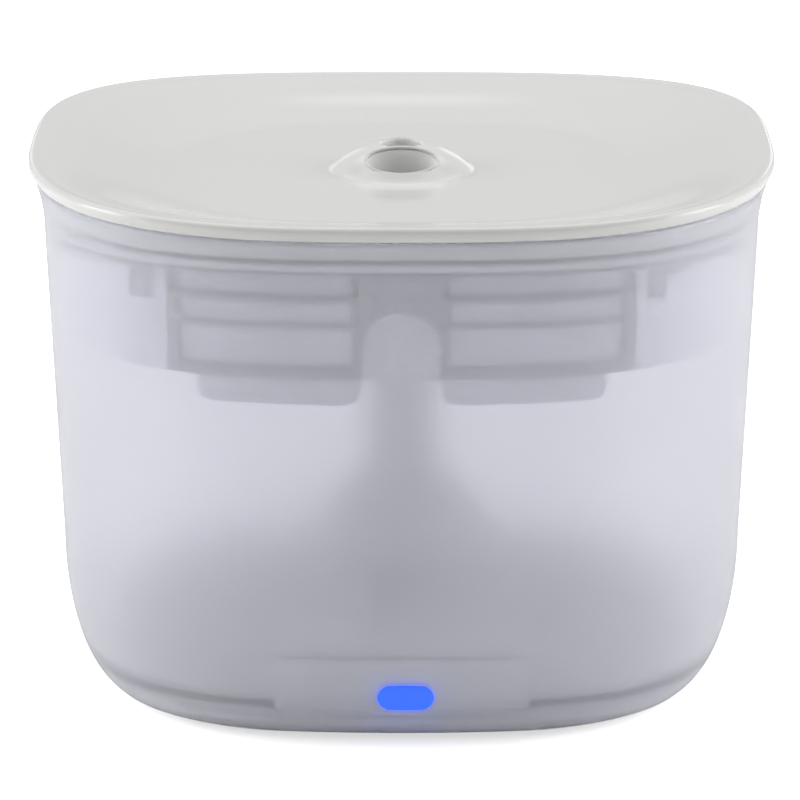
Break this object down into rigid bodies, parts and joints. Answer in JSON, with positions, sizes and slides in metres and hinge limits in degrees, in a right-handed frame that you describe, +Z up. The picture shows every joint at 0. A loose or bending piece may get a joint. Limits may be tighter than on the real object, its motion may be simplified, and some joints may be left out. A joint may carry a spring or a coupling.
{
  "type": "pet water fountain",
  "caption": "Frosted water tank with a glossy saddle-rimmed drinking tray, domed spout and drain, hung filter basket, lift-out pump and lit front indicator",
  "frame": {"origin": "centre of the footprint, on the surface the feet stand on", "axes": "+Z up; the front, with the indicator light and the drain opening, faces -Y; +X to the viewer's right"},
  "size_m": [0.1898, 0.1898, 0.1386],
  "materials": {
    "frosted_tank": "milky frosted translucent plastic with a faint lavender cast",
    "glossy_tray": "smooth glossy warm white plastic",
    "basket_plastic": "satin translucent grey plastic",
    "white_plastic": "satin moulded plastic",
    "pump_plastic": "satin moulded grey plastic",
    "silicone": "soft matt silicone",
    "screw_steel": "plated steel",
    "copper": "enamelled copper winding",
    "ferrite": "dull dark ferrite",
    "board": "solder-masked circuit board",
    "component_black": "black moulded component plastic",
    "light_blue": "lit diffusing lens",
    "carbon": "granular activated carbon",
    "felt": "white needle felt",
    "sponge": "open-cell dark sponge",
    "ceramic_shaft": "polished ceramic",
    "magnet": "bonded ferrite magnet"
  },
  "bodies": {
    "base": {"tank_shell": "frosted_tank", "base_plate": "white_plastic", "base_gasket": "silicone", "rubber_feet": "silicone", "base_screws": "screw_steel", "sending_coil": "copper", "ferrite_plate": "ferrite", "control_board": "board", "board_components": "component_black", "light_holder": "white_plastic", "light_lens": "light_blue", "light_module": "board", "power_socket": "component_black", "socket_pin": "screw_steel"},
    "tray": {"drinking_tray": "glossy_tray"},
    "basket": {"filter_basket": "basket_plastic"},
    "cartridge": {"cartridge_shell": "white_plastic", "carbon_bed": "carbon", "felt_pad": "felt", "cartridge_lid": "white_plastic"},
    "pump": {"pump_foot": "pump_plastic", "receiving_coil": "copper", "pump_board": "board", "rotor_well": "pump_plastic", "motor_coil": "copper", "pump_shaft": "ceramic_shaft", "impeller_cover": "pump_plastic", "pump_sponge": "sponge", "pump_bell": "pump_plastic", "riser_tube": "pump_plastic", "riser_seal": "silicone"},
    "impeller": {"impeller": "pump_plastic", "rotor_magnet": "magnet", "shaft_bushes": "ceramic_shaft"}
  },
  "joints": [
    {"name": "tray_lift", "type": "slide", "parent": "base", "child": "tray", "axis": [0, 0, 1], "range_m": [0, 0.2]},
    {"name": "cartridge_lift", "type": "slide", "parent": "base", "child": "cartridge", "axis": [0, 0, 1], "range_m": [0, 0.12]},
    {"name": "basket_lift", "type": "slide", "parent": "base", "child": "basket", "axis": [0, 0, 1], "range_m": [0, 0.075]},
    {"name": "pump_lift", "type": "slide", "parent": "base", "child": "pump", "axis": [0, 0, 1], "range_m": [0, 0.03]},
    {"name": "impeller_spin", "type": "hinge", "parent": "pump", "child": "impeller", "pos_m": [0, 0.004, 0.04], "axis": [0, 0, 1], "continuous": true}
  ],
  "couplings": [
    {"joint": "cartridge_lift", "follows": "tray_lift", "ratio": 0.6},
    {"joint": "basket_lift", "follows": "tray_lift", "ratio": 0.375},
    {"joint": "pump_lift", "follows": "tray_lift", "ratio": 0.15}
  ]
}
